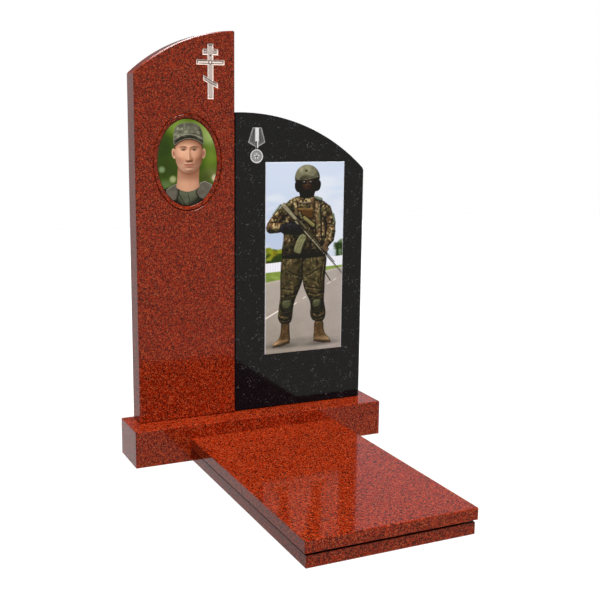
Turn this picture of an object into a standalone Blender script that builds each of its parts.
"""A war memorial of polished granite, at its real size in metres, +Z up, its front towards -Y.

A red base block lies across the back. On it stand a tall red stele, whose top is an arc that rises
to the right, and a lower black stele, whose top is an arc that falls to the right. The red stele
holds an oval ceramic portrait in a coved recess and an engraved three-bar cross. The black stele
holds an upright picture plate in a shallow pocket. Two red ledger slabs lie in front of the base,
one on the other, with a shadow gap between their edges. The origin is on the ground, under the
middle of the whole.
"""

import math

import bmesh
import bpy
from mathutils import Vector

# Base block
BASE_WIDTH = 1.040
BASE_DEPTH = 0.200
BASE_HEIGHT = 0.140

# Both steles
END_LEDGE = 0.045  # base left bare beyond the steles at each end
FRONT_LEDGE = 0.095  # base left bare in front of the red stele
STELE_JOINT = 0.001  # mortar joint between the two steles

# Red stele
RED_WIDTH = 0.388
RED_THICKNESS = 0.090
RED_LEFT_HEIGHT = 1.305
RED_RIGHT_HEIGHT = 1.466
RED_ARC_RISE = 0.038  # of its top arc above the straight line between its corners

# Black stele, which fills the rest of the width
BLACK_THICKNESS = 0.080
BLACK_STEP_BACK = 0.005  # of its front behind the red stele's
BLACK_LEFT_HEIGHT = 1.170
BLACK_RIGHT_HEIGHT = 0.953
BLACK_ARC_RISE = 0.062
BLACK_CORNER_RADIUS = 0.025  # where its arc turns down into its right side

# Engraved cross, hung below the red stele's arc
CROSS_HEIGHT = 0.200
CROSS_BEAM = 0.023
CROSS_DEPTH = 0.002
CROSS_TOP_MARGIN = 0.038  # stone left between the arc and the cross
CROSS_SIDE_INSET = 0.096  # its middle, from the red stele's right side
TOP_BAR_LENGTH = 0.061
TOP_BAR_WIDTH = 0.023
TOP_BAR_DROP = 0.030  # its middle, below the top of the cross
MAIN_BAR_LENGTH = 0.110
MAIN_BAR_WIDTH = 0.019
MAIN_BAR_DROP = 0.067
FOOT_BAR_LENGTH = 0.058
FOOT_BAR_WIDTH = 0.020
FOOT_BAR_DROP = 0.137
FOOT_BAR_TILT = math.radians(27)  # its right end is the low one

# Oval portrait plaque and its recess
PORTRAIT_WIDTH = 0.231
PORTRAIT_HEIGHT = 0.320
PORTRAIT_THICKNESS = 0.006
PORTRAIT_DOME = 0.002  # how far its middle swells out
PORTRAIT_SEAT = 0.003  # how deep it sits below the foot of the cove
PORTRAIT_BELOW_CROSS = 0.054  # stone left between the cross and the cove
PORTRAIT_SIDE_INSET = 0.187  # its middle, from the red stele's right side
COVE_WIDTH = 0.019
COVE_DEPTH = 0.006

# Picture plate and its pocket
PICTURE_WIDTH = 0.343
PICTURE_HEIGHT = 0.762
PICTURE_THICKNESS = 0.006
PICTURE_PROUD = 0.001  # how far its face stands out of the black stele
PICTURE_TOP_MARGIN = 0.046  # stone left between the arc and its right top corner
PICTURE_SIDE_MARGIN = 0.090  # stone left between it and the stele's right side
PICTURE_EDGE = 0.001  # bevel round its face

# Ledger slabs
LEDGER_WIDTH = 0.610
LEDGER_LENGTH = 1.000
UPPER_SLAB_THICKNESS = 0.040
LOWER_SLAB_THICKNESS = 0.040
SLAB_GAP = 0.010  # height of the shadow gap
SLAB_OVERHANG = 0.007  # of the upper slab past the lower one, at the front and sides
REBATE_WIDTH = 0.023  # of the step round the lower slab's top, which leaves the shadow gap

# Finish and fits
SLAB_CHAMFER = 0.003  # on the base and the ledger slabs
STELE_CHAMFER = 0.004
CONTACT_GAP = 0.0003  # between stones that rest on or against each other
POCKET_CLEARANCE = 0.0006  # round a plaque in its pocket

# Fineness of round outlines
ARC_STEPS = 36
CORNER_STEPS = 5
OVAL_STEPS = 72
COVE_STEPS = 5
DOME_STEPS = 4
SMOOTH_UP_TO = math.radians(20)  # faces that meet at more than this are shaded with a hard edge
SHARP_EDGE = math.radians(25)  # edges that turn more than this are chamfered

# Places that follow from the sizes above
STELE_FOOT = BASE_HEIGHT + CONTACT_GAP
MEMORIAL_DEPTH = LEDGER_LENGTH + CONTACT_GAP + BASE_DEPTH
BASE_FRONT = MEMORIAL_DEPTH / 2 - BASE_DEPTH
RED_LEFT = END_LEDGE - BASE_WIDTH / 2
RED_RIGHT = RED_LEFT + RED_WIDTH
RED_FRONT = BASE_FRONT + FRONT_LEDGE
BLACK_LEFT = RED_RIGHT + STELE_JOINT
BLACK_RIGHT = BASE_WIDTH / 2 - END_LEDGE
BLACK_FRONT = RED_FRONT + BLACK_STEP_BACK

RED_GRANITE = ("polished_red_granite", (0.25, 0.045, 0.022), 0.08)
BLACK_GRANITE = ("polished_black_granite", (0.018, 0.018, 0.019), 0.08)
GLAZED_PORTRAIT = ("glazed_portrait", (0.16, 0.22, 0.09), 0.12)
GLAZED_PICTURE = ("glazed_picture", (0.42, 0.46, 0.50), 0.12)


def clear_scene():
    for thing in list(bpy.data.objects):
        bpy.data.objects.remove(thing, do_unlink=True)


def finish_material(finish):
    name, colour, roughness = finish
    material = bpy.data.materials.get(name) or bpy.data.materials.new(name)
    material.use_nodes = True
    shader = material.node_tree.nodes["Principled BSDF"]
    shader.inputs["Base Color"].default_value = (*colour, 1)
    shader.inputs["Roughness"].default_value = roughness
    shader.inputs["Metallic"].default_value = 0
    return material


def add_piece(name, bm, place, parent, finish=None):
    """Makes an object of bm at place. Without a finish it is a cutter, drawn as wires only."""
    bmesh.ops.recalc_face_normals(bm, faces=bm.faces)
    mesh = bpy.data.meshes.new(name)
    bm.to_mesh(mesh)
    bm.free()
    piece = bpy.data.objects.new(name, mesh)
    piece.location = place
    piece.parent = parent
    bpy.context.scene.collection.objects.link(piece)
    if finish:
        mesh.materials.append(finish_material(finish))
    else:
        piece.hide_render = True
        piece.display_type = "WIRE"
    mesh.shade_smooth()
    mesh.set_sharp_from_angle(angle=SMOOTH_UP_TO)
    return piece


def cut(piece, cutter):
    boolean = piece.modifiers.new(cutter.name, "BOOLEAN")
    boolean.operation = "DIFFERENCE"
    boolean.solver = "EXACT"
    boolean.object = cutter


def circle_over(start, end, rise):
    """Centre and radius of the arc from start to end that stands rise above their straight line."""
    start, end = Vector(start), Vector(end)
    half_chord = (end - start).length / 2
    radius = (half_chord**2 + rise**2) / (2 * rise)
    along = (end - start).normalized()
    upward = Vector((-along.y, along.x))
    return (start + end) / 2 + upward * (rise - radius), radius


def height_on_arc(x, start, end, rise):
    centre, radius = circle_over(start, end, rise)
    return centre.y + math.sqrt(radius**2 - (x - centre.x) ** 2)


def arc_points(centre, radius, start, end, steps):
    """Points on a circle from the direction of start to that of end, both included."""
    first = math.atan2(start[1] - centre[1], start[0] - centre[0])
    last = math.atan2(end[1] - centre[1], end[0] - centre[0])
    angles = [first + (last - first) * step / steps for step in range(steps + 1)]
    return [(centre[0] + radius * math.cos(a), centre[1] + radius * math.sin(a)) for a in angles]


def prism(outline, front, back):
    """A solid whose (x, z) outline is drawn out from y = front to y = back."""
    bm = bmesh.new()
    near = [bm.verts.new((x, front, z)) for x, z in outline]
    far = [bm.verts.new((x, back, z)) for x, z in outline]
    bm.faces.new(near)
    bm.faces.new(reversed(far))
    for i in range(len(outline)):
        j = (i + 1) % len(outline)
        bm.faces.new((near[j], near[i], far[i], far[j]))
    bmesh.ops.recalc_face_normals(bm, faces=bm.faces)
    return bm


def box(width, depth, height):
    """A box that stands on z = 0 with its middle over the origin."""
    bm = bmesh.new()
    bmesh.ops.create_cube(bm, size=1)
    bmesh.ops.scale(bm, vec=(width, depth, height), verts=bm.verts)
    bmesh.ops.translate(bm, vec=(0, 0, height / 2), verts=bm.verts)
    return bm


def chamfer(bm, width):
    """Takes off every sharp edge except those round the underside, which stays square."""
    lowest = min(vert.co.z for vert in bm.verts)
    sharp = [
        edge
        for edge in bm.edges
        if edge.calc_face_angle() > SHARP_EDGE
        and any(vert.co.z > lowest + width / 2 for vert in edge.verts)
    ]
    bmesh.ops.bevel(
        bm, geom=sharp, offset=width, offset_type="OFFSET", segments=1, profile=0.5, affect="EDGES"
    )


def oval_loft(rings):
    """A closed solid through ovals, each given as (half width, half height, y)."""
    bm = bmesh.new()
    turns = [2 * math.pi * step / OVAL_STEPS for step in range(OVAL_STEPS)]
    loops = [[bm.verts.new((a * math.cos(t), y, b * math.sin(t))) for t in turns] for a, b, y in rings]
    for one, other in zip(loops, loops[1:]):
        for i in range(OVAL_STEPS):
            j = (i + 1) % OVAL_STEPS
            bm.faces.new((one[i], one[j], other[j], other[i]))
    bm.faces.new(loops[0])
    bm.faces.new(reversed(loops[-1]))
    return bm


def make_base_block(parent):
    bm = box(BASE_WIDTH, BASE_DEPTH, BASE_HEIGHT)
    chamfer(bm, SLAB_CHAMFER)
    add_piece("base_block", bm, (0, BASE_FRONT + BASE_DEPTH / 2, 0), parent, RED_GRANITE)


def red_arc():
    return (RED_LEFT, RED_LEFT_HEIGHT), (RED_RIGHT, RED_RIGHT_HEIGHT), RED_ARC_RISE


def black_arc():
    return (BLACK_LEFT, BLACK_LEFT_HEIGHT), (BLACK_RIGHT, BLACK_RIGHT_HEIGHT), BLACK_ARC_RISE


def cross_middle():
    return RED_RIGHT - CROSS_SIDE_INSET


def cross_foot():
    return height_on_arc(cross_middle(), *red_arc()) - CROSS_TOP_MARGIN - CROSS_HEIGHT


def portrait_centre():
    """(x, z) of the portrait's middle, z above the stele's foot."""
    cove_top = cross_foot() - PORTRAIT_BELOW_CROSS
    return RED_RIGHT - PORTRAIT_SIDE_INSET, cove_top - COVE_WIDTH - PORTRAIT_HEIGHT / 2


def side_of_cross(side):
    """The outline of one side of the cross, from its top down to its foot."""
    beam = side * CROSS_BEAM / 2
    slope = math.tan(FOOT_BAR_TILT)
    bars = [
        (TOP_BAR_LENGTH, TOP_BAR_WIDTH, TOP_BAR_DROP, 0),
        (MAIN_BAR_LENGTH, MAIN_BAR_WIDTH, MAIN_BAR_DROP, 0),
        (FOOT_BAR_LENGTH, FOOT_BAR_WIDTH, FOOT_BAR_DROP, slope),
    ]
    points = [(beam, CROSS_HEIGHT)]
    for length, width, drop, fall in bars:
        end = side * length / 2
        middle = CROSS_HEIGHT - drop
        points += [
            (beam, middle + width / 2 - fall * beam),
            (end, middle + width / 2 - fall * end),
            (end, middle - width / 2 - fall * end),
            (beam, middle - width / 2 - fall * beam),
        ]
    return points + [(beam, 0)]


def make_red_stele(parent):
    start, end, rise = red_arc()
    centre, radius = circle_over(start, end, rise)
    arc = arc_points(centre, radius, end, start, ARC_STEPS)
    bm = prism([(RED_LEFT, 0), (RED_RIGHT, 0), *arc], 0, RED_THICKNESS)
    chamfer(bm, STELE_CHAMFER)
    red = add_piece("red_stele", bm, (0, RED_FRONT, STELE_FOOT), parent, RED_GRANITE)

    outline = side_of_cross(1) + side_of_cross(-1)[::-1]
    bm = prism(outline, -CROSS_DEPTH, CROSS_DEPTH)
    place = (cross_middle(), RED_FRONT, STELE_FOOT + cross_foot())
    cut(red, add_piece("cross_cutter", bm, place, parent))

    half_width = PORTRAIT_WIDTH / 2 + POCKET_CLEARANCE
    half_height = PORTRAIT_HEIGHT / 2 + POCKET_CLEARANCE
    rings = [(half_width + COVE_WIDTH, half_height + COVE_WIDTH, -COVE_DEPTH)]
    for step in range(COVE_STEPS + 1):
        turn = math.pi / 2 * step / COVE_STEPS
        left = COVE_WIDTH * (1 - math.sin(turn))
        rings.append((half_width + left, half_height + left, COVE_DEPTH * (1 - math.cos(turn))))
    rings.append((half_width, half_height, COVE_DEPTH + PORTRAIT_SEAT + CONTACT_GAP))
    x, z = portrait_centre()
    place = (x, RED_FRONT, STELE_FOOT + z)
    cut(red, add_piece("portrait_recess_cutter", oval_loft(rings), place, parent))


def make_portrait_plaque(parent):
    """A gently domed oval, set so that its back rests on the floor of the recess."""
    half_width, half_height = PORTRAIT_WIDTH / 2, PORTRAIT_HEIGHT / 2
    back = COVE_DEPTH + PORTRAIT_SEAT
    rings = [(half_width, half_height, back)]
    for step in range(DOME_STEPS + 1):
        share = 1 - step / (DOME_STEPS + 1)
        swell = PORTRAIT_DOME * (1 - share**2)
        rings.append((half_width * share, half_height * share, back - PORTRAIT_THICKNESS - swell))
    x, z = portrait_centre()
    place = (x, RED_FRONT, STELE_FOOT + z)
    add_piece("oval_portrait_plaque", oval_loft(rings), place, parent, GLAZED_PORTRAIT)


def black_outline():
    """The black stele's outline, with the corner between its arc and right side rounded."""
    start, end, rise = black_arc()
    centre, radius = circle_over(start, end, rise)
    corner_x = BLACK_RIGHT - BLACK_CORNER_RADIUS
    reach = radius - BLACK_CORNER_RADIUS
    corner = (corner_x, centre.y + math.sqrt(reach**2 - (corner_x - centre.x) ** 2))
    outward = (Vector(corner) - centre).normalized()
    touch = centre + outward * radius
    side = (BLACK_RIGHT, corner[1])
    round_corner = arc_points(corner, BLACK_CORNER_RADIUS, side, touch, CORNER_STEPS)
    arc = arc_points(centre, radius, touch, start, ARC_STEPS)
    return [(BLACK_LEFT, 0), (BLACK_RIGHT, 0), *round_corner, *arc[1:]]


def picture_corner():
    """(x, z) of the picture's left bottom corner, z above the stele's foot."""
    right = BLACK_RIGHT - PICTURE_SIDE_MARGIN
    top = height_on_arc(right, *black_arc()) - PICTURE_TOP_MARGIN
    return right - PICTURE_WIDTH, top - PICTURE_HEIGHT


def upright_box(width, height, front, back):
    return prism([(0, 0), (width, 0), (width, height), (0, height)], front, back)


def make_black_stele(parent):
    bm = prism(black_outline(), 0, BLACK_THICKNESS)
    chamfer(bm, STELE_CHAMFER)
    black = add_piece("black_stele", bm, (0, BLACK_FRONT, STELE_FOOT), parent, BLACK_GRANITE)

    room = 2 * POCKET_CLEARANCE
    pocket_floor = PICTURE_THICKNESS - PICTURE_PROUD + CONTACT_GAP
    bm = upright_box(PICTURE_WIDTH + room, PICTURE_HEIGHT + room, -PICTURE_THICKNESS, pocket_floor)
    x, z = picture_corner()
    place = (x - POCKET_CLEARANCE, BLACK_FRONT, STELE_FOOT + z - POCKET_CLEARANCE)
    cut(black, add_piece("picture_pocket_cutter", bm, place, parent))


def make_picture_panel(parent):
    bm = upright_box(PICTURE_WIDTH, PICTURE_HEIGHT, 0, PICTURE_THICKNESS)
    rim = [edge for edge in bm.edges if all(vert.co.y < PICTURE_EDGE / 2 for vert in edge.verts)]
    bmesh.ops.bevel(bm, geom=rim, offset=PICTURE_EDGE, segments=1, profile=0.5, affect="EDGES")
    x, z = picture_corner()
    place = (x, BLACK_FRONT - PICTURE_PROUD, STELE_FOOT + z)
    add_piece("picture_panel", bm, place, parent, GLAZED_PICTURE)


def make_ledger(parent):
    """Both slabs butt against the base. The lower one carries the upper on its raised middle."""
    back = BASE_FRONT - CONTACT_GAP
    length = LEDGER_LENGTH - SLAB_OVERHANG
    bm = box(LEDGER_WIDTH - 2 * SLAB_OVERHANG, length, LOWER_SLAB_THICKNESS)
    top = max(bm.faces, key=lambda face: face.calc_center_median().z)
    bmesh.ops.inset_region(bm, faces=[top], thickness=REBATE_WIDTH, use_even_offset=True)
    raised = bmesh.ops.extrude_face_region(bm, geom=[top])["geom"]
    bmesh.ops.delete(bm, geom=[top], context="FACES_ONLY")
    lifted = [part for part in raised if isinstance(part, bmesh.types.BMVert)]
    bmesh.ops.translate(bm, vec=(0, 0, SLAB_GAP - CONTACT_GAP), verts=lifted)
    place = (0, back - length / 2, 0)
    add_piece("ledger_lower_slab", bm, place, parent, RED_GRANITE)

    bm = box(LEDGER_WIDTH, LEDGER_LENGTH, UPPER_SLAB_THICKNESS)
    chamfer(bm, SLAB_CHAMFER)
    place = (0, back - LEDGER_LENGTH / 2, LOWER_SLAB_THICKNESS + SLAB_GAP)
    add_piece("ledger_upper_slab", bm, place, parent, RED_GRANITE)


def main():
    clear_scene()
    memorial = bpy.data.objects.new("war_memorial", None)
    bpy.context.scene.collection.objects.link(memorial)
    make_base_block(memorial)
    make_red_stele(memorial)
    make_portrait_plaque(memorial)
    make_black_stele(memorial)
    make_picture_panel(memorial)
    make_ledger(memorial)


main()
